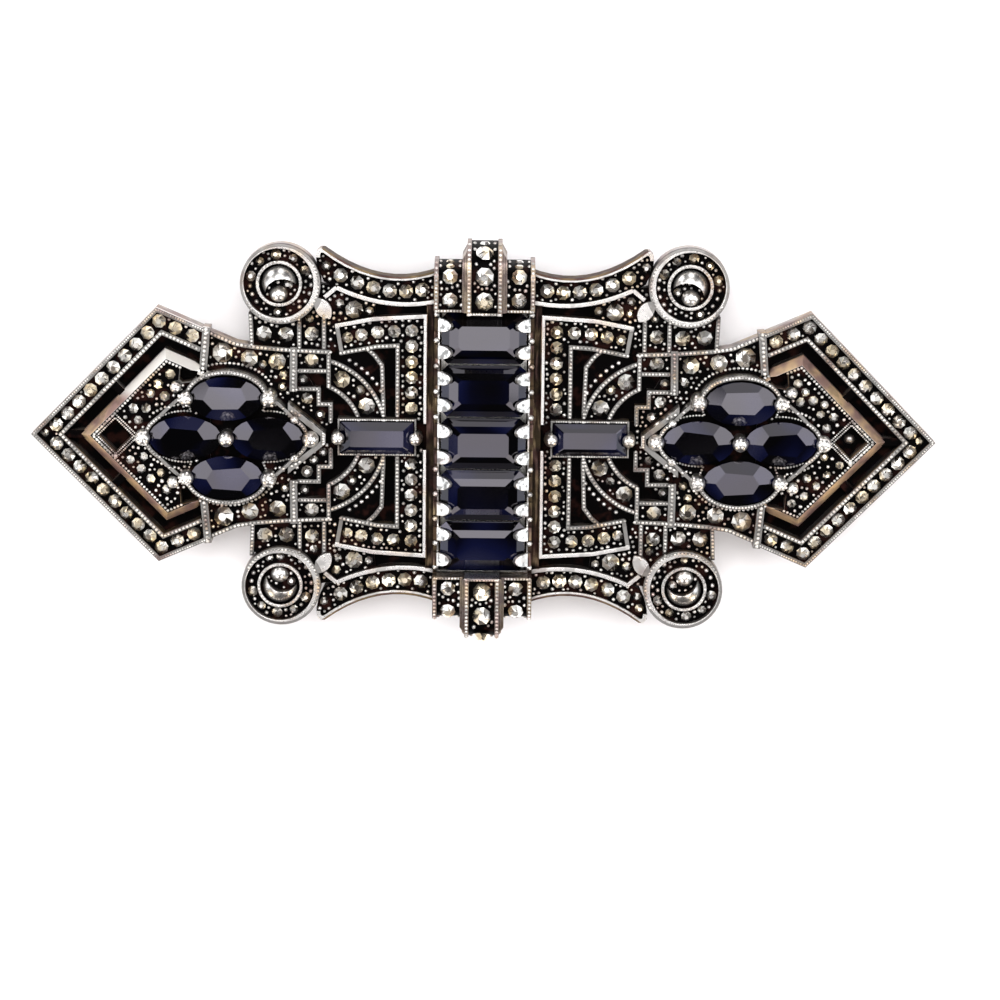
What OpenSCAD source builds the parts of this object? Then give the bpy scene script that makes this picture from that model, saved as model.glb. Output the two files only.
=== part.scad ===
// Dress clip: a pierced silver frame set with dark blue stones and marcasites, on a spring clip.
// X runs along the clip, Y up its face and Z out of the face. The spring clip's leaf rests on Z = 0.

/* [Outline] */
// Distance from the middle to the tip of each shield
tip_x = 34; // [33.8:0.1:34.4]
// Distance from the middle to the corners of each shield
corner_x = 24.5; // [24.3:0.1:24.7]
// Height of a shield's corners over the long axis
corner_y = 9.7; // [9.5:0.1:9.9]
// Radius of each of the four scrolls
scroll_r = 3; // [2.9:0.05:3.05]

/* [Metal] */
// Width of a raised edge wire
wire_w = 0.3; // [0.26:0.02:0.32]
// Height of an edge wire over the ground beside it
wire_rise = 0.35; // [0.3:0.05:0.4]
// Thickness of the spring clip's strip
strip_t = 0.8; // [0.7:0.05:0.9]
// Clear height between the leaf and the foot of the spring clip
jaw_gap = 1.6; // [1.4:0.1:2]
// Width of the spring clip
strip_w = 11; // [9:0.5:11.5]

/* [Stones] */
// Length of an oval stone
oval_l = 5.4; // [5.3:0.05:5.45]
// Width of an oval stone
oval_w = 3.3; // [3.2:0.05:3.35]
// Width of a channel stone, across the channel
center_w = 6.3; // [6.1:0.1:6.4]
// Distance from one channel stone to the next
center_pitch = 3.95; // [3.95:0.01:4]
// Gap between two channel stones
center_gap = 0.12; // [0.1:0.02:0.2]
// Length of a baguette
baguette_l = 5.5; // [5.3:0.1:5.5]
// Width of a baguette
baguette_w = 2.4; // [2.2:0.1:2.4]

/* [Hidden] */
$fn = 48;
// Heights over the back of the frame: the ground of each area
sheet_h = 0.4;
panel_h = 1.0;
band_h = 1.1;
cell_h = 1.2;
bar_h = 1.25;
border_h = 1.5;
plate_h = 2.2;
cluster_h = 2.5;
divider_h = 1.9;
back_z = 2 * strip_t + jaw_gap + 0.05;

// The shield's edge from its upper divider round the tip to the lower one, going clockwise
shield_edge = [[20.6, 8], [corner_x, corner_y], [tip_x, 0], [corner_x, -corner_y], [20.6, -8]];
border_w = 1.75;
slot_w = 0.86;
bevel_w = 0.6;
shield_top = [[20.7, 7.85], [18.6, 6.95], [17.1, 6.72], [14.3, 6.5], [11.5, 6.4]];
divider_out = [[20.75, 8.25], [21.1, 4.3]];
divider_in = [[14.25, 6.75], [14.3, 3.4]];
diamond_x = 27.6;
diamond_side = 1.75;

cluster_x = 19.25;
oval_places = [[0, 3], [0, -3], [-3.08, 0], [3.08, 0]];
oval_names = ["upper", "lower", "inner", "outer"];
// Small tilts of each oval's table, about X and Y
oval_tilts = [[-7, 1], [1, -3], [-2, -4], [1, 3]];
crown_h = 0.78;
girdle_h = 0.15;
pavilion_depth = 1.1;
facet_turn = 0;
facet_slope = 1;
crown_facets = [[90, 36], [270, 36], [35, 30], [145, 30], [215, 30], [325, 30], [0, 44], [180, 44]];
lens_power = 1.3;
// Columns of the prong table: place beside the cluster's middle, radius, and top over the back
prong_x = 0;
prong_y = 1;
prong_r = 2;
prong_top = 3;
prongs = [
    [0, 0, 0.6, 3.65],
    [-6.3, 0, 0.62, 3.5],
    [6.25, 0, 0.6, 3.5],
    [-3.15, 3.05, 0.6, 3.55],
    [3.0, 3.0, 0.56, 3.55],
    [-3.15, -3.05, 0.6, 3.55],
    [3.0, -3.0, 0.56, 3.55],
    [3.75, 3.85, 0.42, 3.2],
    [4.0, -3.4, 0.46, 3.2],
    [-5.1, 1.45, 0.3, 3.1],
    [-5.1, -1.45, 0.3, 3.1]
];

baguette_x = 8;
baguette_girdle = 1.9;
seat_w = 0.2;

arc_center = [13.27, 0];
arc_out_r = 5.95;
arc_in_r = 4.1;
spine_y = 1.0;
cell_x = 11.65;
cell_y = 4.95;
stairs = [[14.3, 3.55], [12.4, 3.55], [12.4, 2.4], [11.5, 2.4], [11.5, spine_y]];
band_x = 5.43;
band_path = [[band_x, spine_y], [band_x, 8.05], [8.2, 7.88], [10.95, 7.35]];
band_w = 2.4;
gap_edge = [[7.5, spine_y], [7.65, 5.4], [8.2, 6.15], [8.7, 6.6]];

scroll_at = [15.24, 11.55];
bar_x = [3.3, 11.95];
bar_steps = 10;

flange_x = 4.3;
wall_x = 3.7;
wall_t = 0.4;
channel_end = 10.05;
arch_r = 80;
wall_top = 3.8;
girdle_top = 3.85;
channel_floor = 1.9;
tooth = [1.1, 0.5, 0.32];
tooth_tilt = 39;
tooth_root = 0.45;

strap_x = 1.3;
strap_foot_x = 1.65;
strap_in = 9.9;
strap_out = 15.05;
column_in = 10;
column_out = 13.7;
loop_rim = 0.32;
loop_sink = 0.35;
loop_foot = 1.3;
strap_h = 5.8;
column_h = 4.9;

// Outlines as lists of points

function left_of(a, b) = [a[1] - b[1], b[0] - a[0]] / norm(b - a);
function mitre(path, i) =
    let (last = len(path) - 1)
    let (before = left_of(path[max(i - 1, 0)], path[max(i, 1)]))
    let (after = left_of(path[min(i, last - 1)], path[min(i + 1, last)]))
    2 * (before + after) / ((before + after) * (before + after));
function beside(path, d) = [for (i = [0:len(path) - 1]) path[i] + d * mitre(path, i)];
function backwards(path) = [for (i = [len(path) - 1:-1:0]) path[i]];
function ribbon(path, w) = concat(beside(path, w / 2), backwards(beside(path, -w / 2)));
function arc(c, r, from, to, n) =
    [for (i = [0:n]) let (a = from + (to - from) * i / n) c + r * [cos(a), sin(a)]];
function between(a, b, n) = [for (i = [0:n - 1]) a + (b - a) * i / (n - 1)];
function ellipse(a, b, n = 24, turn = 0) =
    [for (i = [0:n - 1]) let (t = 360 * (i + turn) / n) [a * cos(t), b * sin(t)]];

// Distance from the middle of a cluster to the far side of one oval, grown by rim, at angle t
function oval_reach(t, c, a, b) =
    let (u = [cos(t) / a, sin(t) / b])
    let (v = [c[0] / a, c[1] / b])
    let (root = pow(u * v, 2) - (u * u) * (v * v - 1))
    root < 0 ? 0 : (u * v + sqrt(root)) / (u * u);
// The same for a pointed lens round all four ovals
function lens_reach(t, rim) =
    let (a = abs(cos(t)) / (oval_places[3][0] + oval_l / 2 + rim))
    let (b = abs(sin(t)) / (oval_places[0][1] + oval_w / 2 + rim))
    1 / pow(pow(a, lens_power) + pow(b, lens_power), 1 / lens_power);
function cluster_outline(rim, n = 80) = [for (i = [0:n - 1])
    let (t = 360 * i / n)
    let (ovals = [for (c = oval_places) oval_reach(t, c, oval_l / 2 + rim, oval_w / 2 + rim)])
    max(max(ovals), lens_reach(t, rim)) * [cos(t), sin(t)]];

function bar_top(x) = 12.13 + 0.066 * pow(x - 6.37, 2);
function bar_low(x) = 9.95 + 0.045 * pow(x - 5.9, 2);
function bar_line(x0, x1, part) = [for (i = [0:bar_steps])
    let (x = x0 + (x1 - x0) * i / bar_steps) [x, bar_low(x) * (1 - part) + bar_top(x) * part]];

// Height of a loop's surface over the back: level for its first half, then rounded down to its end
function loop_top(y, inner, outer, h) =
    let (s = max(0, 2 * (y - inner) / (outer - inner) - 1))
    loop_foot + (h - loop_foot) * pow(max(0, 1 - pow(s, 4)), 0.4);
function loop_side(inner, outer, h, n = 14) = concat(
    [[inner, 0], [inner, h]],
    [for (i = [0:n]) let (y = inner + (outer - inner) * (0.5 + 0.5 * sin(90 * i / n)))
        [y, loop_top(y, inner, outer, h)]],
    [[outer - 0.5, 0]]
);

// Solids from rings of points, each ring one level higher and going anticlockwise
module loft(rings) {
    n = len(rings[0]);
    last = len(rings) - 1;
    walls = [for (k = [0:last - 1], i = [0:n - 1])
        let (a = k * n + i)
        let (b = k * n + (i + 1) % n)
        each [[a, a + n, b + n], [a, b + n, b]]];
    caps = [[for (i = [0:n - 1]) i], [for (i = [n - 1:-1:0]) last * n + i]];
    polyhedron([for (ring = rings) each ring], concat(walls, caps));
}
function level(points, z) = [for (p = points) [p[0], p[1], z]];

module slab(points, top) linear_extrude(top) polygon(points);
module wire(path, top) slab(ribbon(path, wire_w), top);
module four_ways() {
    for (mx = [0, 1], my = [0, 1]) mirror([mx, 0, 0]) mirror([0, my, 0]) children();
}
module two_ways() {
    for (mx = [0, 1]) mirror([mx, 0, 0]) children();
}

// Silver frame: one soldered piece

module shield_border() {
    outer = beside(shield_edge, -wire_w / 2);
    inner = beside(shield_edge, -border_w + wire_w / 2);
    slab(concat(outer, backwards(inner)), border_h);
    wire(outer, border_h + wire_rise);
    wire(inner, border_h + wire_rise);
}

// The raised plate inside the slot, with a polished bevel down to the slot and a diamond recess
module shield_plate() {
    foot = concat(backwards(beside(shield_edge, -border_w - slot_w)), [[20.5, 4.75], [20.5, -4.75]]);
    rim = concat(backwards(beside(shield_edge, -border_w - slot_w - bevel_w)), [[20.5, 4.2], [20.5, -4.2]]);
    difference() {
        loft([level(foot, 0), level(foot, plate_h - 0.7), level(rim, plate_h)]);
        translate([diamond_x, 0, plate_h - 1.3]) rotate(45)
            translate([-diamond_side / 2, -diamond_side / 2, 0]) cube([diamond_side, diamond_side, 2]);
        for (my = [0, 1]) mirror([0, my, 0]) translate([0, 0, -1])
            linear_extrude(5) polygon([[21.5, 4.2], [21.4, 4.95], [22.75, 5.25], [22.85, 4.0]]);
    }
}

// Thin sheet behind the openwork. It closes the slots and gaps, which look like black channels.
module back_sheet() {
    slab(beside(shield_edge, -0.7), sheet_h);
    for (my = [0, 1]) mirror([0, my, 0])
        slab([[4.2, -0.1], [4.2, 10.6], [8.9, 10.6], [11, 10.9], [12.9, 10.2], [12.9, 9.2], [17.2, 9.1], [17.3, 6.6],
            [18.6, 6.8], [21, 7.8], [21, -0.1]], sheet_h);
}

// Short struts that hold the plate in the border: one at the tip, one half way up each side
module shield_struts() {
    edge = beside(shield_edge, -border_w - slot_w / 2);
    half = (edge[1] + edge[2]) / 2;
    for (s = [1, -1]) translate([half[0], s * half[1], 0])
        rotate(s * 45) translate([-1, -0.3, 0]) cube([1.78, 0.6, border_h + 0.1]);
    translate([29.4, -0.3, 0]) cube([2.4, 0.6, border_h + 0.1]);
}

module shield_ground() {
    slab([[11.5, 1.2], [11.5, -1.2], [14.3, -6.5], [17.1, -6.7], [18.6, -6.9], [20.7, -7.8],
        [21, 0], [20.7, 7.8], [18.6, 6.9], [17.1, 6.7], [14.3, 6.5]], 0.9);
    for (my = [0, 1]) mirror([0, my, 0]) {
        slab([[14.3, 3], [14.3, 6.5], [17.1, 6.7], [18.6, 6.9], [20.7, 7.8], [21, 3]], cell_h);
        wire(shield_top, cell_h + wire_rise);
        slab(ribbon(divider_out, 0.55), divider_h);
        slab(ribbon(divider_in, 0.55), cell_h + wire_rise + 0.1);
    }
}

// The plate under the four ovals, with a raised rim and a pointed nose towards the channel
module cluster_plate() {
    translate([cluster_x, 0, 0]) {
        difference() {
            slab(cluster_outline(0.45), cluster_h + 0.2);
            translate([0, 0, cluster_h - 0.6]) slab(cluster_outline(0.16), 2);
        }
        difference() {
            slab([[-4.6, 2.7], [-7.4, 0.4], [-7.4, -0.4], [-4.6, -2.7]], cluster_h + 0.1);
            translate([0, 0, cluster_h - 0.15]) slab([[-4.4, 2.3], [-7.05, 0.2], [-7.05, -0.2], [-4.4, -2.3]], 1);
        }
    }
}

module cluster_prongs() {
    difference() {
        for (p = prongs) translate([p[prong_x], p[prong_y], 0.5]) {
            cylinder(r = p[prong_r], h = p[prong_top] - p[prong_r] - 0.5);
            translate([0, 0, p[prong_top] - p[prong_r] - 0.5]) sphere(r = p[prong_r]);
        }
        for (c = oval_places) translate([c[0], c[1], cluster_h - 0.34])
            slab(ellipse(oval_l / 2 + 0.06, oval_w / 2 + 0.06), 0.9);
    }
}

module shield() {
    difference() {
        union() {
            shield_border();
            shield_plate();
            shield_struts();
            back_sheet();
            shield_ground();
            cluster_plate();
        }
        for (c = oval_places) translate([cluster_x + c[0], c[1], -1]) {
            slab(ellipse(oval_l / 2 - 0.3, oval_w / 2 - 0.3), 6);
            translate([0, 0, cluster_h + 0.58]) slab(ellipse(oval_l / 2 + 0.06, oval_w / 2 + 0.06), 3);
        }
    }
    translate([cluster_x, 0, 0]) cluster_prongs();
}

// The openwork between the channel and the shield, one quarter of it
module panel_quarter() {
    outer = beside(band_path, band_w / 2 - wire_w / 2);
    inner = beside(band_path, wire_w / 2 - band_w / 2);
    slab(concat(outer, backwards(inner)), band_h);
    wire(outer, band_h + wire_rise);
    wire(inner, band_h + wire_rise);
    wire([outer[3] + [-0.1, 0.1], inner[3] + [-0.1, -0.1]], band_h + wire_rise - 0.02);

    slab(concat(gap_edge, [[10.9, 7], [11.8, 6.6], [11.8, 5.4]],
        arc(arc_center, arc_out_r, 113.7, 170.2, 12)), panel_h);
    wire(gap_edge, panel_h + wire_rise);

    slab(concat(arc(arc_center, arc_out_r, 105.8, 170.3, 14), arc(arc_center, arc_in_r, 165.9, 113.3, 10)),
        panel_h + 0.05);
    wire(arc(arc_center, arc_out_r, 105.8, 170.3, 14), panel_h + wire_rise + 0.05);
    wire(arc(arc_center, arc_in_r, 113.3, 166, 10), panel_h + wire_rise + 0.03);
    wire([[cell_x, 3.7], [cell_x, 6.5]], cell_h + wire_rise - 0.05);
    slab([[cell_x, cell_y], [14.3, cell_y], [14.3, 6.45], [cell_x, 6.45]], cell_h - 0.05);
    wire([[cell_x - 0.1, cell_y], [14.3, cell_y]], cell_h + wire_rise - 0.1);

    slab(concat(stairs, [[14.4, spine_y], [14.4, 3.55]]), panel_h - 0.05);
    wire(stairs, panel_h + wire_rise - 0.05);

    // Block between the shield's edge and the scroll
    slab([[11.1, 6.3], [17.45, 6.6], [17.55, 8.9], [16.5, 9.6], [13, 9.6], [11.1, 9.1]], cell_h - 0.1);
    wire([[17.4, 6.7], [17.5, 9.3]], cell_h + wire_rise - 0.15);
    wire([[13.85, 6.5], [13.85, 9]], cell_h + wire_rise - 0.12);
    wire([[12, 6.5], [12, 9.4]], cell_h + wire_rise - 0.18);

    // Ground between the band, the bar and the scroll
    slab([[8.3, 8.6], [11.2, 8.3], [13, 9.2], [13, 11.6], [11.1, 11.3], [10, 10.9], [8.9, 10.5], [8.1, 10.25]],
        band_h - 0.07);
}

module leaf_lug() {
    translate([12.05, 9.75, 0]) rotate(-35) linear_extrude(1.85) intersection() {
        translate([-0.55, 0]) circle(r = 1.1);
        translate([0.55, 0]) circle(r = 1.1);
    }
}

module bar() {
    top = concat(bar_line(bar_x[0], bar_x[1], 1), [[12.28, 14.2], [12.52, 13.95]]);
    low = bar_line(bar_x[0], bar_x[1] - 0.85, 0);
    slab(concat(top, [[12.58, 13.35], [12.45, 12.7], [12, 11.7]], backwards(low)), bar_h);
    wire(beside(concat(top, [[12.56, 13.55]]), -wire_w / 2 + 0.02), bar_h + wire_rise);
    wire(beside(low, wire_w / 2 - 0.02), bar_h + wire_rise);
    wire([[11.05, 11.3], [11.95, 10.55]], bar_h + wire_rise - 0.03);
}

// A scroll: a thick polished rim, a row of marcasites, a ring and a crescent dome in the middle
module scroll() {
    ground = 1.2;
    translate(scroll_at) {
        difference() {
            cylinder(r = scroll_r, h = ground + 0.65);
            translate([0.12, 0.05, ground]) cylinder(r = scroll_r - 0.38, h = 1);
        }
        difference() {
            translate([0.1, 0, 0.9]) cylinder(r = 1.72, h = ground - 0.9 + 0.45);
            translate([0.1, 0, ground - 0.2]) cylinder(r = 1.5, h = 1);
        }
        difference() {
            translate([0.1, 0.05, 0.75]) sphere(r = 1.46);
            translate([-0.15, -0.88, ground - 0.25]) cylinder(r = 1.3, h = 2);
            translate([-2, -2, -2]) cube([4, 4, 2.6]);
        }
        translate([0.15, -0.85, 1.1]) sphere(r = 0.72);
    }
}

module baguette_seat() {
    half_l = baguette_l / 2 + seat_w;
    half_w = baguette_w / 2 + seat_w;
    difference() {
        translate([baguette_x - half_l, -half_w, 0]) cube([2 * half_l, 2 * half_w, 1.8]);
        translate([baguette_x - baguette_l / 2 - 0.06, -baguette_w / 2 - 0.06, 0.75])
            cube([baguette_l + 0.12, baguette_w + 0.12, 2]);
    }
    translate([4, -spine_y - 0.2, 0]) cube([8.5, 2 * spine_y + 0.4, 0.7]);
    difference() {
        for (s = [-1, 1]) translate([baguette_x + s * (baguette_l / 2 + 0.17), 0, 0]) {
            cylinder(r = 0.52, h = 2.25);
            translate([0, 0, 2.25]) sphere(r = 0.52);
        }
        translate([baguette_x - baguette_l / 2 - 0.06, -baguette_w / 2 - 0.06, 0.75])
            cube([baguette_l + 0.12, baguette_w + 0.12, 1.62]);
    }
}

// Profile of the channel along Y, arched so that its end stones lie lower than the middle one
function arch_side(base, top, reach, n = 20) = concat(
    [[-reach, base]],
    [for (i = [0:n]) let (y = -reach + 2 * reach * i / n) [y, top - y * y / (2 * arch_r)]],
    [[reach, base]]
);
// Extrudes a profile drawn in Y and Z across the clip from one X to another
module across(x0, x1) translate([x0, 0, 0]) rotate([90, 0, 90]) linear_extrude(x1 - x0) children();

module channel() {
    translate([-flange_x, -channel_end, 0]) cube([2 * flange_x, 2 * channel_end, band_h + 0.15]);
    difference() {
        across(-wall_x, wall_x) polygon(arch_side(0.1, wall_top, channel_end + 0.1));
        translate([wall_t - wall_x, -channel_end + 0.2, channel_floor])
            cube([2 * (wall_x - wall_t), 2 * channel_end - 0.4, 5]);
    }
}

// Two claws a side for each channel stone, bent up over its crown
module claws() {
    for (i = [-2:2], s = [-1, 1], side = [-1, 1]) {
        y = i * center_pitch + s;
        translate([side * (wall_x - 0.55), y, wall_top + 0.2 - y * y / (2 * arch_r)])
            rotate([0, -tooth_tilt, side < 0 ? 0 : 180])
                linear_extrude(tooth[2]) polygon(concat([[-tooth_root, -tooth[1]]],
                    [for (k = [0:8]) let (t = -90 + 22.5 * k) [tooth[0] * pow(cos(t), 0.8), tooth[1] * sin(t)]],
                    [[-tooth_root, tooth[1]]]));
    }
}

module loop(x0, x1, inner, outer, h) {
    across(x0 + 0.1, x1 - 0.1) polygon(loop_side(inner + 0.1, outer - 0.2, h - loop_sink));
    across(x0, x0 + loop_rim) polygon(loop_side(inner, outer, h));
    across(x1 - loop_rim, x1) polygon(loop_side(inner, outer, h));
    translate([x0 + 0.1, inner + 0.02, 0.3]) cube([x1 - x0 - 0.2, 0.2, h - 0.35]);
}

// The middle strap: a band between two rims, standing on two wider steps with their corners cut off
module strap() {
    loop(-strap_x, strap_x, strap_in, strap_out, strap_h);
    difference() {
        for (k = [1, 2]) {
            half = strap_x + (strap_foot_x - strap_x) * k / 2;
            across(-half, half) polygon(loop_side(strap_in + 0.15 * k, strap_out - 0.12 * k, strap_h - 0.45 * k));
        }
        for (s = [-1, 1]) translate([s * strap_foot_x, strap_out - 1.15, -1]) rotate(s * 28)
            translate([s > 0 ? 0 : -2, -0.5, 0]) cube([2, 4, 8]);
    }
}

module loops() {
    for (my = [0, 1]) mirror([0, my, 0]) {
        strap();
        for (mx = [0, 1]) mirror([mx, 0, 0]) loop(strap_x, wall_x + 0.02, column_in, column_out, column_h);
    }
}

module frame() {
    color("silver") translate([0, 0, back_z]) {
        two_ways() shield();
        two_ways() baguette_seat();
        four_ways() panel_quarter();
        four_ways() leaf_lug();
        four_ways() bar();
        four_ways() scroll();
        channel();
        claws();
        difference() {
            loops();
            translate([-center_w / 2 - 0.05, -channel_end + 0.2, channel_floor])
                cube([center_w + 0.1, 2 * channel_end - 0.4, girdle_top - channel_floor + 0.05]);
        }
    }
}

// Spring clip behind the frame: a foot under the channel, a bend and a leaf with two gripping points

module clip() {
    reach = 9.2;
    foot_end = -3;
    leaf_end = -9.2;
    mid_z = strip_t + jaw_gap / 2;
    bend_y = reach - mid_z;
    outline = concat(
        [[leaf_end, 0]],
        arc([bend_y, mid_z], mid_z, -90, 90, 14),
        [[foot_end, 2 * mid_z], [foot_end, 2 * mid_z - strip_t]],
        arc([bend_y, mid_z], jaw_gap / 2, 90, -90, 10),
        [[leaf_end, strip_t]]
    );
    color("gray") {
        across(-strip_w / 2, strip_w / 2) polygon(outline);
        for (x = [-strip_w / 4, strip_w / 4]) across(x - 0.6, x + 0.6)
            polygon([[leaf_end + 0.1, 0.3], [leaf_end + 0.1, strip_t + 0.75], [leaf_end + 1, 0.3]]);
    }
}

// Stones, each drawn about its own girdle

function octagon(w, l, c) =
    [[w, -l + c], [w, l - c], [w - c, l], [c - w, l], [-w, l - c], [-w, c - l], [c - w, -l], [w - c, -l]];

module step_cut(w, l, up, down) {
    loft([
        level(octagon(w * 0.42, l * 0.14, l * 0.08), -down),
        level(octagon(w * 0.86, l * 0.68, l * 0.18), -down * 0.5),
        level(octagon(w, l, l * 0.22), 0),
        level(octagon(w, l, l * 0.22), 0.1),
        level(octagon(w * 0.82, l * 0.72, l * 0.18), 0.1 + up * 0.6),
        level(octagon(w * 0.6, l * 0.46, l * 0.12), 0.1 + up)
    ]);
}

module center_stone(i) {
    y = (3 - i) * center_pitch;
    color("midnightblue") translate([0, y, back_z + girdle_top - 0.1 - y * y / (2 * arch_r)])
        rotate([-y / arch_r * 180 / PI, 0, 0])
            step_cut(center_w / 2, (center_pitch - center_gap) / 2, 0.75, 1.4);
}

// Each facet is cut by a plane through the girdle, at a compass angle round the stone and a slope
module cut_facet(turn, slope, z, a, b, below = false) {
    rotate(turn) translate([norm([a * cos(turn), b * sin(turn)]), 0, z])
        rotate([0, below ? -slope : slope, 0]) translate([-5, -5, below ? -10 : 0]) cube(10);
}

module oval_stone(side, i) {
    a = oval_l / 2;
    b = oval_w / 2;
    c = oval_places[i];
    color("midnightblue") translate([side * (cluster_x + c[0]), c[1], back_z + cluster_h + 0.12]) difference() {
        translate([0, 0, -pavilion_depth]) slab(ellipse(a, b), pavilion_depth + 1);
        for (f = crown_facets) cut_facet(f[facet_turn], f[facet_slope], girdle_h, a, b);
        for (turn = [0:45:315]) cut_facet(turn, 46, 0.05, a, b, true);
        translate([0, 0, crown_h]) rotate([oval_tilts[i][0], side * oval_tilts[i][1], 0])
            translate([-5, -5, 0]) cube(10);
    }
}

module baguette(side) {
    w = baguette_l / 2;
    l = baguette_w / 2;
    color("midnightblue") translate([side * baguette_x, 0, back_z + baguette_girdle]) loft([
        level(octagon(w - 0.9, 0.15, 0.05), -1),
        level(octagon(w - 0.35, l - 0.45, 0.06), -0.55),
        level(octagon(w, l, 0.08), 0),
        level(octagon(w, l, 0.08), 0.1),
        level(octagon(w - 0.38, l - 0.3, 0.07), 0.38),
        level(octagon(w - 0.75, l - 0.58, 0.06), 0.6)
    ]);
}

// Marcasites: an octagonal rose with a small table, each turned and tipped its own way
function odd(i) = sin(i * 997) * 1.7 - floor(sin(i * 997) * 1.7);

module marcasite(i, x, y, r, ground, lean = 0) {
    translate([x, y, back_z + ground]) rotate([lean, 0, 0]) translate([0, 0, 0.17])
        rotate([20 * odd(i) - 10, 20 * odd(i + 50) - 10, 45 * odd(i + 90)])
            loft([level(ellipse(r, r, 8), 0), level(ellipse(0.4 * r, 0.4 * r, 8, 0.5), 0.07 + 0.5 * r)]);
}

border_line = beside(shield_edge, -border_w / 2);
// Columns of the marcasite table: place, radius and the height of the ground that it stands on
stone_x = 0;
stone_y = 1;
stone_r = 2;
stone_ground = 3;
marcasites = concat(
    [for (p = between(border_line[1], border_line[2] + [-0.68, 0.72], 10)) [p[0], p[1], 0.53, border_h]],
    [for (t = [0.36, 0.74]) let (p = border_line[1] * (1 - t) + border_line[0] * t) [p[0], p[1], 0.53, border_h]],
    [[19.6, 6.28, 0.78, cell_h], [17.6, 5.86, 0.66, cell_h], [15.5, 5.65, 0.66, cell_h]],
    [[12.95, 5.72, 0.56, cell_h - 0.05]],
    [[16.5, 7.72, 0.6, cell_h - 0.1], [14.85, 7.68, 0.6, cell_h - 0.1], [12.92, 7.75, 0.55, cell_h - 0.1]],
    [[9.75, 9.6, 0.68, band_h - 0.07]],
    [for (k = [0:5]) let (x = 4.65 + 1.22 * k) [x, (bar_low(x) + bar_top(x)) / 2, 0.55, bar_h]],
    [for (k = [0:4]) let (a = 14 + 35 * k)
        [scroll_at[0] + 0.1 + 2.17 * cos(a), scroll_at[1] + 2.17 * sin(a), k % 2 == 0 ? 0.4 : 0.33, 1.2]],
    [for (k = [0:5]) [band_x, 2.15 + 1.18 * k, 0.5, band_h]],
    [[6.75, 7.99, 0.5, band_h], [8, 7.92, 0.5, band_h], [9.2, 7.7, 0.5, band_h], [10.25, 7.5, 0.42, band_h]],
    [for (a = [121, 153]) [arc_center[0] + 5.02 * cos(a), arc_center[1] + 5.02 * sin(a), 0.66, panel_h + 0.05]],
    [[13.3, 2.8, 0.46, panel_h - 0.05]]
);

// A marcasite on a loop stands on the loop's curved ground
module loop_marcasite(i, x, y, r, inner, outer, h) {
    in = inner + 0.1;
    out = outer - 0.2;
    sunk = h - loop_sink;
    slope = (loop_top(y + 0.1, in, out, sunk) - loop_top(y - 0.1, in, out, sunk)) / 0.2;
    marcasite(i, x, y, r, loop_top(y, in, out, sunk), atan(slope));
}

module marcasites(side) {
    color("dimgray") for (up = [-1, 1], i = [0:len(marcasites) - 1]) {
        m = marcasites[i];
        marcasite(i + 100 * up + 7 * side, side * m[stone_x], up * m[stone_y], m[stone_r], m[stone_ground]);
    }
    color("dimgray") for (up = [0, 1]) mirror([0, up, 0]) {
        for (y = [10.9, 12.6]) loop_marcasite(y + up, side * 2.55, y, 0.58, column_in, column_out, column_h);
        if (side < 0) for (y = [10.95, 12.8, 14.3])
            loop_marcasite(y + up, 0, y, 0.7, strap_in, strap_out, strap_h);
    }
}

frame();
clip();
marcasites(-1);  // marcasites_left
marcasites(1);  // marcasites_right
baguette(-1);  // baguette_left
baguette(1);  // baguette_right
for (i = [1:5]) center_stone(i);
for (i = [0:3]) oval_stone(-1, i);
for (i = [0:3]) oval_stone(1, i);
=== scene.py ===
import math
import random

import bpy
import numpy as np
from mathutils import Matrix, Vector
from mathutils.bvhtree import BVHTree


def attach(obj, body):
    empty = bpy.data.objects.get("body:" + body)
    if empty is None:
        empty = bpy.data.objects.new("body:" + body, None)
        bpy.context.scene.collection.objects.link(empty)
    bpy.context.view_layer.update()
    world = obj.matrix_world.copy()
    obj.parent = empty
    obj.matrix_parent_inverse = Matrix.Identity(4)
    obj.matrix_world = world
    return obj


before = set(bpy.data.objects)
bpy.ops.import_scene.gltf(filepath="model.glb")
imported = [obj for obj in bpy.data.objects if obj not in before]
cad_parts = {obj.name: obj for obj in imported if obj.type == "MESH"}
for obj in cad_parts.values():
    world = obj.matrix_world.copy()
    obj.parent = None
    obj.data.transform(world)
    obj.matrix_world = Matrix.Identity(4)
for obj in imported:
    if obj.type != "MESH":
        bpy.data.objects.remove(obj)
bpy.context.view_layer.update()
bpy.ops.object.select_all(action="DESELECT")

# Silver frame
# One casting of pierced silver, blackened all over and then polished where it stands proud.
# The CAD node shows as it is. Its hollows stay black and its raised wires and rims are bright.

mm = 0.001
# The frame's back stands this many millimetres over the floor, on the spring clip
back = 3.25
scroll_at = (15.24, 11.55)


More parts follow.
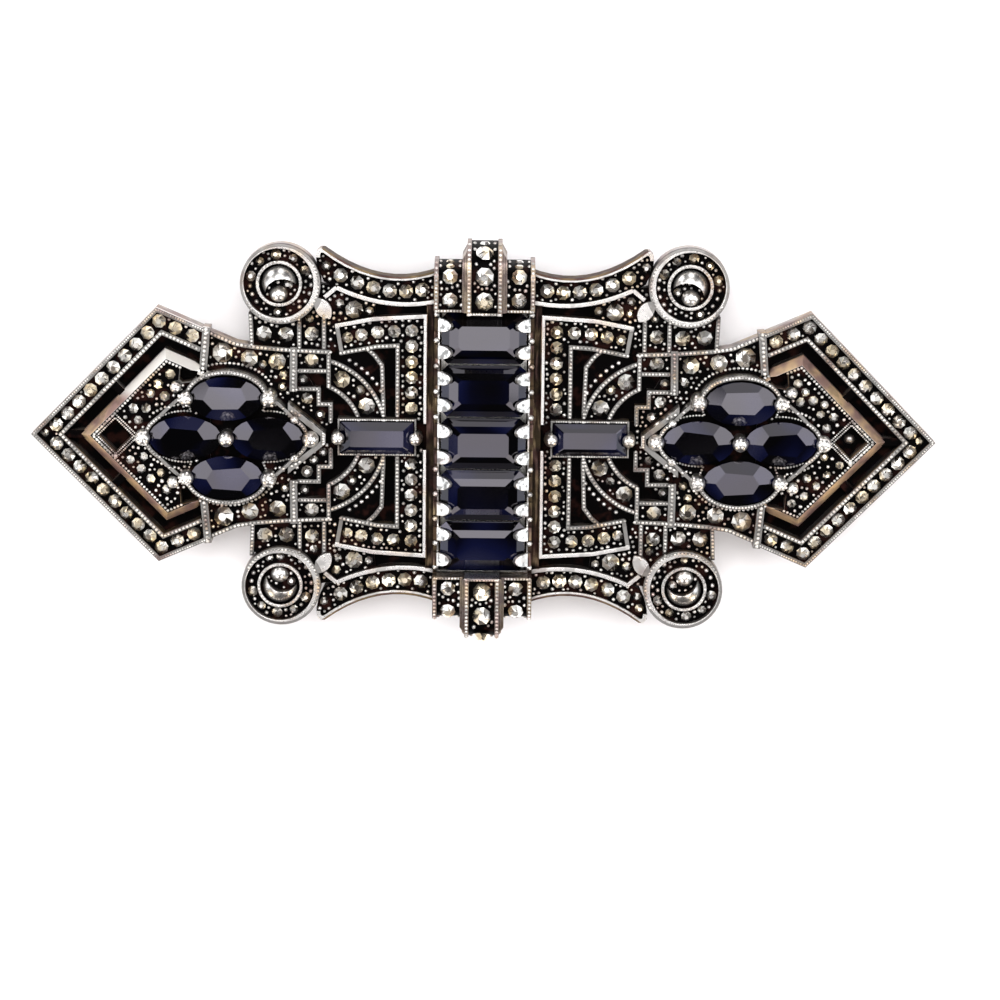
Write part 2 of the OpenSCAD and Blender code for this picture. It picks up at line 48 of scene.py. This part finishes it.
class Shade:
    """A socket of a material. Sums on it add Math nodes, and node() adds any other node."""

    def __init__(self, tree, socket=None):
        self.tree = tree
        self.socket = socket

    def node(self, kind, settings=None, sockets=None, out=0):
        made = self.tree.nodes.new(kind)
        for name, value in (settings or {}).items():
            if name == "stops":
                stops = made.color_ramp.elements
                while len(stops) < len(value):
                    stops.new(0.5)
                for stop, (place, tone) in zip(stops, value):
                    stop.position = place
                    stop.color = tone
            else:
                setattr(made, name, value)
        for name, value in (sockets or {}).items():
            if isinstance(value, Shade):
                self.tree.links.new(value.socket, made.inputs[name])
            else:
                made.inputs[name].default_value = value
        return Shade(self.tree, made.outputs[out] if made.outputs else None)

    def sum(self, operation, first, second=0.0):
        return self.node("ShaderNodeMath", {"operation": operation}, {0: first, 1: second})

    def __add__(self, other):
        return self.sum("ADD", self, other)

    def __radd__(self, other):
        return self.sum("ADD", other, self)

    def __sub__(self, other):
        return self.sum("SUBTRACT", self, other)

    def __rsub__(self, other):
        return self.sum("SUBTRACT", other, self)

    def __mul__(self, other):
        return self.sum("MULTIPLY", self, other)

    def __rmul__(self, other):
        return self.sum("MULTIPLY", other, self)

    def ramp(self, low, high):
        """Rises smoothly from 0 at low to 1 at high."""
        settings = {"interpolation_type": "SMOOTHSTEP"}
        sockets = {"Value": self, "From Min": low, "From Max": high}
        return self.node("ShaderNodeMapRange", settings, sockets)

    def tint(self, plain, tinted):
        sockets = {"Factor": self, "A": plain, "B": tinted}
        return self.node("ShaderNodeMix", {"data_type": "RGBA"}, sockets, out=2)

    def cloud(self, size, detail=2.0):
        """Noise in patches of the given size, in metres."""
        sockets = {"Vector": self.node("ShaderNodeTexCoord", out=3), "Scale": 1 / size, "Detail": detail}
        return self.node("ShaderNodeTexNoise", {}, sockets)


def new_material(name):
    material = bpy.data.materials.new(name)
    material.use_nodes = True
    material.node_tree.nodes.clear()
    return material, Shade(material.node_tree)


def finish_material(start, fixed, varied):
    surface = start.node("ShaderNodeBsdfPrincipled", {}, {**fixed, **varied})
    start.node("ShaderNodeOutputMaterial", {}, {"Surface": surface})


def dress(name, material):
    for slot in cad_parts[name].material_slots:
        slot.material = material


oxide = (0.0012, 0.0009, 0.001, 1)
brown_oxide = (0.014, 0.005, 0.004, 1)
clean_silver = (0.92, 0.90, 0.87, 1)
rosy_silver = (0.40, 0.24, 0.21, 1)
golden_silver = (0.84, 0.61, 0.35, 1)


def between(value, low, high):
    """1 where the value lies between low and high, else 0."""
    return value.ramp(low - 0.01, low + 0.01) * (1 - value.ramp(high - 0.01, high + 0.01))


def more(first, second):
    return first.sum("MAXIMUM", first, second)


def polished(start, clean, warm, rough, rounded=None):
    """Silver that is bright where clean is 1 and black where it is 0, and rosy to golden where warm is 1,
    as tarnished silver and, on the frame's plate bevels, as a painted golden reflection.
    """
    tarnish_and_reflection = start.cloud(1.7 * mm).ramp(0.38, 0.66).tint(rosy_silver, golden_silver)
    bright = warm.tint(clean_silver, tarnish_and_reflection)
    dark = start.cloud(1.3 * mm, 3.0).ramp(0.52, 0.66).tint(oxide, brown_oxide)
    scratch = start.cloud(0.14 * mm, 3.0)
    sockets = {"Strength": 0.08, "Distance": 0.03 * mm, "Height": scratch}
    if rounded:
        sockets["Normal"] = rounded
    finish_material(start, {"Specular IOR Level": 0.015}, {
        "Base Color": clean.tint(dark, bright),
        "Metallic": clean.ramp(0.05, 0.4),
        "Roughness": rough + (scratch - 0.5) * 0.08,
        "Normal": start.node("ShaderNodeBump", {}, sockets),
    })


material, start = new_material("oxidised_silver")
place = start.node("ShaderNodeTexCoord", out=3)
along_x = start.node("ShaderNodeSeparateXYZ", {}, {"Vector": place}, out=0) * 1000
across = along_x.sum("ABSOLUTE", along_x)
along_y = start.node("ShaderNodeSeparateXYZ", {}, {"Vector": place}, out=1) * 1000
upward = along_y.sum("ABSOLUTE", along_y)
height = start.node("ShaderNodeSeparateXYZ", {}, {"Vector": place}, out=2) * 1000 - back
facing = start.node("ShaderNodeNewGeometry", out=1)
flat = start.node("ShaderNodeSeparateXYZ", {}, {"Vector": facing}, out=2).ramp(0.85, 0.95)
wall = 1 - start.node("ShaderNodeSeparateXYZ", {}, {"Vector": facing}, out=2).ramp(0.2, 0.5)
in_channel = 1 - upward.ramp(10.05, 10.15)

# Each mask below is 1 on one part of the casting.
# Its numbers are millimetres over the back or from the middle.
# The black hollows: flat ground between the wires, by its height in each area
ground = between(height, 0.2, 1.27) * flat
ground = more(ground, across.ramp(20.9, 21.1) * between(height, 0.2, 1.75) * flat)
ground = more(ground, across.ramp(20.5, 20.6) * between(height, 2.15, 2.25) * flat)
cluster_ground = between(across, 11.5, 26) * (1 - upward.ramp(5.0, 5.1))
ground = more(ground, cluster_ground * between(height, 1.85, 2.42) * flat)
strap_ground = upward.ramp(10.08, 10.12) * (1 - across.ramp(0.98, 0.99))
column_ground = upward.ramp(10.2, 10.22) * between(across, 1.66, 3.4)
ground = more(ground, more(strap_ground, column_ground))
# Wires with beads are dark between them, but not the smooth ones round the channel and the bars
beaded = between(height, 1.28, 1.7) * flat * (1 - in_channel * (1 - across.ramp(4.58, 4.62)))
top_arm = between(upward, 8.2, 9.3) * (1 - across.ramp(11.2, 11.3))
beaded = beaded * (1 - top_arm) * (1 - upward.ramp(9.4, 9.5))
beaded = more(beaded, across.ramp(20.3, 20.5) * between(height, 1.8, 1.95) * flat)
channel_wall = more(between(across, 3.42, 4.32), between(across, 3.2, 4.32) * (1 - height.ramp(3.0, 3.1)))
channel_wall = channel_wall * in_channel * height.ramp(1.2, 1.22)
behind = 1 - height.ramp(0.02, 0.06)
outer_wall = wall * (1 - height.ramp(1.7, 1.9)) * (1 - behind)
claw = in_channel * between(across, 2.2, 3.42) * height.ramp(2.9, 3.0)
bar_edge = (across - 6.37) * (across - 6.37) * 0.066 + 12.13 - upward
bar_edge = between(bar_edge, -0.1, 0.13) * between(across, 3.75, 12.5) * (1 - height.ramp(1.9, 2.0))

# The silver is clean where it lies open to the sky and gets rubbed, and black in narrow places
sky = start.node("ShaderNodeAmbientOcclusion", {"samples": 6}, {"Distance": 0.8 * mm}, out=1)
open_parts = (sky + (start.cloud(0.5 * mm) - 0.5) * 0.2).ramp(0.4, 0.75)
border = between(across, 4.32, 4.57) * (1 - upward.ramp(9.3, 9.4)) * height.ramp(1.3, 1.4)
clean = (1 - ground * (1 - channel_wall)) * more(open_parts, border) * (1 - beaded * 0.72)
streak = start.node("ShaderNodeMapping", {}, {"Vector": place, "Scale": (1, 0.12, 1)})
streak_size = 0.35 * mm
streak = start.node("ShaderNodeTexNoise", {}, {"Vector": streak, "Scale": 1 / streak_size, "Detail": 2.0})
# Walls, bar edges, the back and some of each claw are duller, with streaks on the walls
clean = clean * (1 - channel_wall * (0.93 - streak.ramp(0.5, 0.7) * 0.4))
clean = clean * (1 - outer_wall * (0.62 - streak.ramp(0.25, 0.8) * 0.25)) * (1 - bar_edge * 0.75)
clean = clean * (1 - behind * (0.3 + streak.ramp(0.4, 0.7) * 0.12))
clean = clean * (1 - claw * start.cloud(0.45 * mm).ramp(0.5, 0.62) * 0.65)
# The rims of the scrolls, loops and clusters and the baguettes' bezels are duller too
over = across - scroll_at[0]
above = upward - scroll_at[1]
from_scroll = over * over + above * above
scroll_rim = between(from_scroll, 2.8 ** 2, 3.3 ** 2) * height.ramp(1.2, 1.3)
loop_rim = upward.ramp(9.95, 10.0) * (1 - across.ramp(3.75, 3.76))
loop_rim = loop_rim * (1 - strap_ground) * (1 - column_ground)
cluster_rim = between(across, 11.9, 26.7) * (1 - upward.ramp(5.5, 5.6))
cluster_rim = cluster_rim * between(height, 2.43, 2.8) * flat
bezel = between(across, 5.0, 11.0) * (1 - upward.ramp(1.5, 1.55)) * between(height, 1.25, 1.9)
clean = clean * (1 - more(more(scroll_rim, cluster_rim), more(loop_rim * 0.8, bezel)) * 0.65)
# The steep edge of each pointed plate gets a painted white highlight at the top of the left plate and a
# painted golden reflection elsewhere
patches = start.cloud(2.6 * mm, 3.0)
bevel = across.ramp(20.5, 20.6) * between(height, 1.5, 2.19) * (1 - flat)
painted_bevel_highlight = bevel * along_y.ramp(2.6, 3.6) * (1 - along_x.ramp(-1, 1))
painted_golden_bevel = bevel - painted_bevel_highlight
warm = outer_wall * (0.35 + patches.ramp(0.4, 0.6) * 0.35)
warm = warm + patches.ramp(0.5, 0.7) * 0.4 * (1 - behind * 0.7)
# The painted highlight keeps little warm tint, and the rest of each bevel takes the painted golden
# reflection
warm = warm * (1 - painted_bevel_highlight * 0.8)
warm = more(warm, more(more(channel_wall, bar_edge), more(painted_golden_bevel * 0.9, loop_rim * 0.7)))
rounded = start.node("ShaderNodeBevel", {"samples": 4}, {"Radius": 0.07 * mm})
# The border wire and the painted bevel highlight stay fully bright
clean = more(clean * (1 - start.cloud(1.1 * mm).ramp(0.52, 0.66) * 0.28), more(border, painted_bevel_highlight))
polished(start, clean, warm, 0.42 - clean * 0.14 + bevel * 0.25, rounded)
dress("frame", material)

# Millegrain
# Rows of tiny round beads rolled along the crest of nearly every wire of the silver frame.
# They are of the same metal as the wires, and bright on top.


def bead_model(name, around, rings):
    bpy.ops.mesh.primitive_uv_sphere_add(segments=around, ring_count=rings, radius=1)
    bead = bpy.context.object
    bead.name = name
    bpy.ops.object.mode_set(mode="EDIT")
    bpy.ops.mesh.select_all(action="SELECT")
    bpy.ops.mesh.bisect(plane_co=(0, 0, -0.4), plane_no=(0, 0, 1), clear_inner=True, use_fill=True)
    bpy.ops.object.mode_set(mode="OBJECT")
    bead.select_set(False)
    return bead


def strew(name, model, places, material, smooth=True):
    """Joins one copy of the model at each place: x, y, z, size, and optionally a turn matrix."""
    mesh = model.data
    points = np.array([v.co for v in mesh.vertices])
    corners = [len(p.vertices) for p in mesh.polygons]
    loops = np.concatenate([np.array(p.vertices) for p in mesh.polygons])
    many = len(places)
    spots = []
    for x, y, z, size, *turn in places:
        shape = points @ np.array(turn[0]).T if turn else points
        spots.append((shape * size + (x, y, z)) * mm)
    made = bpy.data.meshes.new(name)
    made.vertices.add(len(points) * many)
    made.vertices.foreach_set("co", np.concatenate(spots).ravel())
    made.loops.add(len(loops) * many)
    steps = np.arange(many)[:, None] * len(points)
    made.loops.foreach_set("vertex_index", (loops[None] + steps).ravel())
    made.polygons.add(len(corners) * many)
    sizes = np.tile(corners, many)
    made.polygons.foreach_set("loop_start", np.concatenate([[0], np.cumsum(sizes)[:-1]]))
    made.polygons.foreach_set("loop_total", sizes)
    made.update(calc_edges=True)
    made.validate()
    made.polygons.foreach_set("use_smooth", [smooth] * len(made.polygons))
    piece = bpy.data.objects.new(name, made)
    bpy.context.collection.objects.link(piece)
    made.materials.append(material)
    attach(piece, "root")
    return piece


def beside(path, d):
    """The path moved sideways by d, to its left where d is positive, with mitred corners."""
    points = [Vector(p) for p in path]
    legs = [(b - a).normalized() for a, b in zip(points, points[1:])]
    lefts = [Vector((-leg.y, leg.x)) for leg in legs]
    lefts = [lefts[0]] + lefts + [lefts[-1]]
    moved = []
    for point, before, after in zip(points, lefts, lefts[1:]):
        both = before + after
        moved.append(point + d * 2 * both / both.dot(both))
    return moved


def arc(center, radius, start, end, count):
    angles = [math.radians(start + (end - start) * i / count) for i in range(count + 1)]
    points = [(center[0] + radius * math.cos(a), center[1] + radius * math.sin(a)) for a in angles]
    return [Vector(point) for point in points]


def along(path, pitch):
    """Points at an even pitch along a path."""
    points = [Vector(p) for p in path]
    lengths = [(b - a).length for a, b in zip(points, points[1:])]
    total = sum(lengths)
    count = max(1, round(total / pitch))
    spots = []
    for i in range(count + 1):
        rest = total * i / count
        for a, b, length in zip(points, points[1:], lengths):
            if rest <= length + 1e-9:
                spots.append(a.lerp(b, rest / length))
                break
            rest -= length
    return spots


shield_edge = [(20.6, 8), (24.5, 9.7), (34, 0), (24.5, -9.7), (20.6, -8)]
shield_top = [(20.7, 7.85), (18.6, 6.95), (17.1, 6.72), (14.3, 6.5), (11.5, 6.4)]
stairs = [(14.3, 3.55), (12.4, 3.55), (12.4, 2.4), (11.5, 2.4), (11.5, 1.0)]
band_path = [(5.43, 1.0), (5.43, 8.05), (8.2, 7.88), (10.95, 7.35)]
gap_edge = [(7.5, 1.0), (7.65, 5.4), (8.2, 6.15), (8.7, 6.6)]
arc_center = (13.27, 0)
oval_length = 5.4
oval_width = 3.3
oval_places = [(0, 3), (0, -3), (-3.08, 0), (3.08, 0)]
cluster_x = 19.25
recess_x = 27.6
scroll_ring_at = (15.34, 11.55)
# Rays that look for the silver start this many millimetres out, well clear of it
ray_start = 20


def cluster_outline(rim, count=80):
    """The outline round four ovals, as seen from the cluster's middle."""
    outline = []
    for i in range(count + 1):
        t = 2 * math.pi * i / count
        far = 0
        for cx, cy in oval_places:
            a = oval_length / 2 + rim
            b = oval_width / 2 + rim
            u = (math.cos(t) / a, math.sin(t) / b)
            v = (cx / a, cy / b)
            uu = u[0] ** 2 + u[1] ** 2
            uv = u[0] * v[0] + u[1] * v[1]
            root = uv ** 2 - uu * (v[0] ** 2 + v[1] ** 2 - 1)
            if root >= 0:
                far = max(far, (uv + math.sqrt(root)) / uu)
        outline.append(Vector((cluster_x + far * math.cos(t), far * math.sin(t))))
    return outline


def node_points(name):
    """Each triangle of a CAD node as three points, in millimetres."""
    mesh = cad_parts[name].data
    points = np.array([v.co for v in mesh.vertices]) / mm
    return points[np.array([p.vertices for p in mesh.polygons])]


def tree_of(triangles):
    corners = triangles.reshape(-1, 3).tolist()
    faces = np.arange(len(corners)).reshape(-1, 3).tolist()
    return BVHTree.FromPolygons(corners, faces)


def diamond(far):
    """A square standing on its corner round the recess in the plate."""
    square = [(far, 0), (0, far), (-far, 0), (0, -far), (far, 0)]
    return [(recess_x + x, y) for x, y in square]


# Columns: path, bead radius, pitch. Each bead comes down on the frame under it.
half_rows = [
    (beside(shield_edge, -0.12), 0.085, 0.2),
    (beside(shield_edge, -1.6), 0.132, 0.30),
    (beside(shield_edge, -3.36), 0.12, 0.28),
    (cluster_outline(0.30), 0.112, 0.24),
    ([p for p in cluster_outline(0.80) if p.y > 1.5], 0.136, 0.33),
    ([p for p in cluster_outline(0.80) if p.y < -1.5], 0.136, 0.33),
    ([(cluster_x - 7.25, -0.4), (cluster_x - 7.25, 0.4)], 0.12, 0.21),
    (diamond(1.38), 0.085, 0.17),
    (diamond(1.68), 0.085, 0.17),
    ([(recess_x, -1.55), (recess_x, -1.5)], 0.2, 1),
]
quarter_rows = [
    (shield_top, 0.132, 0.30),
    (stairs, 0.104, 0.26),
    (beside(band_path, -1.05), 0.132, 0.29),
    (gap_edge, 0.12, 0.29),
    (arc(arc_center, 5.95, 105.8, 170.3, 14), 0.132, 0.29),
    (arc(arc_center, 6.55, 119, 148, 6), 0.18, 0.6),
    (arc(arc_center, 4.1, 113.3, 166, 10), 0.124, 0.29),
    ([(17.4, 6.9), (17.5, 9.1)], 0.112, 0.28),
    ([(12.0, 6.7), (12.0, 9.2)], 0.112, 0.28),
    ([(13.85, 6.7), (13.85, 8.9)], 0.112, 0.28),
    ([(11.65, 4.95), (14.2, 4.95)], 0.104, 0.26),
    ([(11.65, 3.9), (11.65, 6.3)], 0.112, 0.28),
    ([(14.25, 6.5), (14.3, 3.5)], 0.128, 0.30),
    ([(20.77, 8.1), (21.08, 4.5)], 0.152, 0.33),
    (arc(scroll_at, 2.83, 150, 330, 24), 0.11, 0.28),
    (arc(scroll_ring_at, 1.61, 0, 340, 24), 0.11, 0.3),
    (arc(scroll_at, 2.3, 167, 232, 8), 0.2, 0.66),
    (arc(scroll_at, 2.3, -38, -6, 4), 0.19, 0.6),
    ([(1.14, 10.0), (1.14, 14.9)], 0.128, 0.28),
    ([(3.56, 10.1), (3.56, 13.5)], 0.12, 0.28),
    ([(0.15, 10.02), (1.0, 10.02)], 0.112, 0.23),
    ([(1.75, 10.12), (3.4, 10.12)], 0.104, 0.23),
    ([(5.3, 1.31), (10.7, 1.31)], 0.09, 0.18),
    ([(3.52, 1.975), (3.52, 9.6)], 0.23, 1.975),
]
frame_tree = tree_of(node_points("frame"))


def millegrain(side):
    """Each bead's place and radius on the right half, where side is 1, or on the left one."""
    places = []
    ways = [(path, 1, radius, pitch) for path, radius, pitch in half_rows]
    ways += [(path, up, radius, pitch) for path, radius, pitch in quarter_rows for up in (1, -1)]
    if side > 0:
        ways.append(([(recess_x - 0.05, 0.1), (recess_x + 0.05, 0.1)], 1, 0.4, 1))
    for path, up, radius, pitch in ways:
        for p in along(path, pitch):
            over_it = (side * p[0], up * p[1], ray_start)
            hit, normal, face, reach = frame_tree.ray_cast(over_it, (0, 0, -1))
            if hit and hit.z > back + 0.85:
                places.append((hit.x, hit.y, hit.z - 0.02, radius))
    return places


small_bead = bead_model("small_bead", 8, 6)
bead_silver, start = new_material("bead_silver")
sky = start.node("ShaderNodeAmbientOcclusion", {"samples": 6}, {"Distance": 0.25 * mm}, out=1)
patches = start.cloud(2.6 * mm, 3.0)
dulled = start.cloud(0.8 * mm).ramp(0.48, 0.6) * 0.5
clean = sky.ramp(0.25, 0.6) * (1 - dulled)
polished(start, clean, patches.ramp(0.48, 0.66) * 0.7, 0.38 + patches * 0.05)
for side, word in ((-1, "left"), (1, "right")):
    piece = strew(f"millegrain_{word}", small_bead, millegrain(side), bead_silver)

# Stones
# Five step-cut stones in the channel, two baguettes and eight ovals, all of a nearly black blue.
# Their facets are flat and polished, and some of them are painted a little navy or slate grey, as a
# painted reflection from inside the stone.


def facet_noise(start, spread_out, scale):
    """Noise that differs from facet to facet, by the facet's direction and its place on the piece."""
    facing = start.node("ShaderNodeNewGeometry", out=1)
    place = start.node("ShaderNodeTexCoord", out=3)
    sockets = {0: place, 1: (spread_out, spread_out, spread_out), 2: facing}
    way = start.node("ShaderNodeVectorMath", {"operation": "MULTIPLY_ADD"}, sockets)
    return start.node("ShaderNodeTexNoise", {}, {"Vector": way, "Scale": scale, "Detail": 0.0})


material, start = new_material("dark_blue_stone")
# Noise picks a tone per facet: most keep the near-black blue, some get a painted navy to slate reflection
each = facet_noise(start, 90, 2.6)
blue = each.node("ShaderNodeValToRGB", {"stops": [
    (0.46, (0.0001, 0.0001, 0.0003, 1)),
    (0.56, (0.0004, 0.0006, 0.0045, 1)),
    (0.65, (0.002, 0.003, 0.018, 1)),
    (0.76, (0.010, 0.011, 0.030, 1)),
]}, {"Fac": each})
polish = {"Roughness": 0.06, "Specular IOR Level": 0.3, "Specular Tint": (0.93, 0.89, 1, 1), "IOR": 1.76}
finish_material(start, polish, {"Base Color": blue})
stone_nodes = [f"center_stone_{i}" for i in range(1, 6)] + ["baguette_left", "baguette_right"]
spots = ("upper", "lower", "inner", "outer")
stone_nodes += [f"oval_{side}_{spot}" for side in ("left", "right") for spot in spots]
for name in stone_nodes:
    dress(name, material)

# Marcasites
# Small faceted stones of bright grey pyrite, held by beads raised from the silver ground.
# The larger ones are CAD nodes. The finest fill what ground they leave, with grain beads between them.

marcasite, start = new_material("marcasite")
# Noise paints some facets dark, as painted shade, and the rest bright, as painted glints, in a cream to
# golden tone
each = facet_noise(start, 400, 1.9)
hue = start.cloud(1.6 * mm, 0.0).ramp(0.5, 0.62).tint((1.0, 0.99, 0.95, 1), (0.95, 0.84, 0.64, 1))
finish_material(start, {"Metallic": 1.0}, {
    "Base Color": each.ramp(0.28, 0.40).tint((0.16, 0.14, 0.12, 1), hue),
    "Roughness": 0.18 + each * 0.22,
})
for name in ("marcasites_left", "marcasites_right"):
    dress(name, marcasite)
draw = random.Random(7)

# Heights of the frame seen from above, on a grid. A stone counts as a high wall.
grid_step = 0.1
grid_x = np.arange(-34, 34, grid_step)
grid_y = np.arange(-15.1, 15.1, grid_step)
seen_nodes = ["frame", "marcasites_left", "marcasites_right"] + stone_nodes
triangles = [node_points(name) for name in seen_nodes]
frame_faces = len(triangles[0])
tree = tree_of(np.concatenate(triangles))
no_ground = 99.0
tops = np.full((len(grid_x), len(grid_y)), no_ground)
for i, x in enumerate(grid_x):
    for j, y in enumerate(grid_y):
        hit, normal, face, reach = tree.ray_cast((x, y, ray_start), (0, 0, -1))
        if hit and face < frame_faces:
            tops[i, j] = hit.z - back


def level_spots(radius, slack):
    """Which grid points have level ground all round them, out to the radius."""
    reach = int(radius / grid_step)
    high = tops.copy()
    low = tops.copy()
    for dx in range(-reach, reach + 1):
        for dy in range(-reach, reach + 1):
            if dx ** 2 + dy ** 2 <= (radius / grid_step) ** 2:
                moved = np.roll(tops, (dx, dy), (0, 1))
                high = np.maximum(high, moved)
                low = np.minimum(low, moved)
    return high - low < slack


wide_x, wide_y = np.meshgrid(np.abs(grid_x), np.abs(grid_y), indexing="ij")
# Ground between the wires, by its height in each area
is_ground = (tops > 0.8) & (tops < 1.28)
is_ground |= (wide_x > 20.8) & (tops > 1.45) & (tops < 1.55)
is_ground |= (wide_x > 20.6) & (tops > 2.15) & (tops < 2.25)
# The channel, the recess in each plate and the corner outside each big arc stay bare
is_ground &= ~((wide_x < 4.35) & (wide_y < 10.2))
is_ground &= ~(np.abs(wide_x - recess_x) + wide_y < 1.9)
from_arc = np.hypot(wide_x - arc_center[0], wide_y)
is_ground &= ~((from_arc > 5.9) & (wide_x > 6.7) & (wide_x < 11.6) & (wide_y < 6.75))
on_loops = (wide_x < 3.5) & (wide_y > 10.1) & (tops < no_ground)


def spread(spots, taken, gap, low, high):
    """Takes the spots in a random order, and keeps those that clear all that is taken by the gap."""
    kept = []
    order = list(zip(*np.nonzero(spots)))
    draw.shuffle(order)
    cell_size = 1.5
    cells = {}
    for x, y, size in taken:
        cells.setdefault((int(x // cell_size), int(y // cell_size)), []).append((x, y, size))
    for i, j in order:
        x = grid_x[i] + draw.uniform(-0.04, 0.04)
        y = grid_y[j] + draw.uniform(-0.04, 0.04)
        size = draw.uniform(low, high)
        cell = (int(x // cell_size), int(y // cell_size))
        near_cells = [(cell[0] + a, cell[1] + b) for a in (-1, 0, 1) for b in (-1, 0, 1)]
        near = [other for beside_it in near_cells for other in cells.get(beside_it, [])]
        if all(math.hypot(x - u, y - v) > size + far + gap for u, v, far in near):
            kept.append((x, y, tops[i, j], size))
            cells.setdefault(cell, []).append((x, y, size))
    return kept


# A CAD marcasite has 28 triangles: two caps of six and sixteen round the side
stone_triangles = 28
set_stones = []
for name in ("marcasites_left", "marcasites_right"):
    groups = node_points(name).reshape(-1, stone_triangles * 3, 3)
    for low, high in zip(groups.min(axis=1), groups.max(axis=1)):
        middle = (low + high) / 2
        set_stones.append((middle[0], middle[1], (high[0] - low[0]) / 2))

bpy.ops.mesh.primitive_cone_add(vertices=7, radius1=1, radius2=0.42, depth=0.62)
fine_stone = bpy.context.object
fine_stone.select_set(False)
beads = [(p[0], p[1], p[3]) for side in (-1, 1) for p in millegrain(side)]
# Stones and beads on the steep outer ends of the straps and columns, square to the slope
end_stones = []
end_beads = []
# Columns: x, stone radius, heights over the frame's back
for x, size, heights in ((0, 0.6, (4.2, 2.8)), (2.55, 0.5, (3.6, 2.5)), (-2.55, 0.5, (3.6, 2.5))):
    for up in (1, -1):
        for z in heights:
            for out, many, radius, sunk in (
                (0, end_stones, size, 0.06 * size),
                (-0.75, end_beads, 0.16, 0.02),
                (0.75, end_beads, 0.16, 0.02),
            ):
                outside = (x + out, up * ray_start, back + z)
                hit, normal, face, reach = frame_tree.ray_cast(outside, (0, -up, 0))
                turn = normal.to_track_quat("Z", "Y").to_matrix()
                many.append((*(hit - normal * sunk), radius, turn))
# The finest marcasites take the wider ground, and grain beads what is left between them
fine = spread(is_ground & level_spots(0.4, 0.06), set_stones + beads, 0.12, 0.33, 0.42)
placed = set_stones + beads + [(x, y, size) for x, y, top, size in fine]
grains = spread(is_ground & level_spots(0.15, 0.06), placed, 0.1, 0.10, 0.17)
grains += spread(on_loops & level_spots(0.2, 0.45), placed, 0.08, 0.11, 0.18)
for side, word in ((-1, "left"), (1, "right")):
    chosen = [place for place in end_stones if place[0] * side > 0 or (place[0] == 0 and side == 1)]
    for x, y, top, size in fine:
        turn = Matrix.Rotation(draw.uniform(0, 6), 3, "Z")
        turn = turn @ Matrix.Rotation(draw.uniform(-0.2, 0.2), 3, "X")
        if x * side > 0:
            chosen.append((x, y, back + top + 0.3 * size, size, turn))
    piece = strew(f"fine_marcasites_{word}", fine_stone, chosen, marcasite, False)
    chosen = []
    for x, y, top, size in grains:
        if x * side > 0:
            chosen.append((x, y, back + top + 0.3 * size, size, np.eye(3)))
    chosen += [place for place in end_beads if place[0] * side > 0]
    piece = strew(f"grain_beads_{word}", small_bead, chosen, bead_silver)

# Spring clip
# A flat strip of springy white metal bent back on itself behind the channel, with a plain satin finish.

material, start = new_material("satin_clip_metal")
brushed = start.cloud(0.3 * mm, 4.0)
finish_material(start, {"Metallic": 1.0}, {
    "Base Color": brushed.tint((0.56, 0.55, 0.52, 1), (0.66, 0.65, 0.62, 1)),
    "Roughness": 0.28 + brushed * 0.1,
})
dress("clip", material)

# Floor, light and camera
# A white sheet under soft light from the photo's top, seen from almost straight above.

bpy.ops.mesh.primitive_plane_add(size=3, location=(0, 0, 0))
floor = bpy.context.object
floor.name = "floor"
floor.select_set(False)
material, start = new_material("white_floor")
finish_material(start, {"Base Color": (0.98, 0.965, 0.98, 1), "Roughness": 0.9}, {})
floor.data.materials.append(material)

lamp_away = 0.4
# Columns: name, compass angle, angle from straight up, half width as an angle, brightness, colour
for name, turn, lean, half, glow, tone in (
    ("top_light", 90, 23, 22, 5.5, (1, 0.99, 0.98)),
    ("left_light", 172, 48, 16, 4.6, (1, 0.99, 1)),
    ("right_light", 14, 50, 16, 4.6, (1, 0.99, 1)),
    ("low_light", 270, 12, 4.2, 3.6, (1, 0.97, 1)),
    ("low_left_light", 232, 46, 13, 4.0, (1, 0.95, 0.92)),
    ("low_right_light", 308, 46, 13, 4.0, (1, 0.95, 0.92)),
    ("left_side_light", 190, 74, 13, 2.0, (0.9, 0.95, 1)),
    ("right_side_light", 350, 74, 13, 2.0, (0.9, 0.95, 1)),
    ("back_light", 84, 72, 14, 2.0, (1, 1, 1)),
    ("far_left_light", 137, 78, 12, 4.0, (1, 1, 1)),
    ("gold_left_light", 226, 84, 9, 5.0, (1, 0.84, 0.62)),
    ("gold_right_light", 314, 84, 9, 5.0, (1, 0.84, 0.62)),
):
    lamp = bpy.data.lights.new(name, "AREA")
    lamp.shape = "DISK"
    lamp.size = 2 * lamp_away * math.tan(math.radians(half))
    disk_area = math.pi * (lamp.size / 2) ** 2
    lamp.energy = glow * math.pi * disk_area
    lamp.color = tone
    light = bpy.data.objects.new(name, lamp)
    up = math.radians(90 - lean)
    round_to = math.radians(turn)
    way = Vector((math.cos(up) * math.cos(round_to), math.cos(up) * math.sin(round_to), math.sin(up)))
    light.location = way * lamp_away
    light.rotation_euler = way.to_track_quat("Z", "Y").to_euler()
    bpy.context.collection.objects.link(light)

world = bpy.data.worlds.new("pale_room")
world.use_nodes = True
world.node_tree.nodes["Background"].inputs["Color"].default_value = (1, 0.95, 1, 1)
world.node_tree.nodes["Background"].inputs["Strength"].default_value = 0.04
bpy.context.scene.world = world
bpy.context.scene.view_settings.view_transform = "Standard"

lens = bpy.data.cameras.new("camera")
lens.lens = 120
lens.sensor_width = 36
lens.clip_start = 0.01
camera = bpy.data.objects.new("camera", lens)
tilt = math.radians(12)
roll = math.radians(0.6)
picture_width = 75.45 * mm
distance = picture_width * lens.lens / lens.sensor_width
aim = Vector((1.3 * mm, -4.7 * mm, 5.1 * mm))
turned = Matrix.Rotation(roll, 4, "Z") @ Matrix.Rotation(-tilt, 4, "X")
camera.matrix_world = Matrix.Translation(aim) @ turned @ Matrix.Translation((0, 0, distance))
bpy.context.collection.objects.link(camera)
bpy.context.scene.camera = camera

for model in (small_bead, fine_stone):
    bpy.data.objects.remove(model)
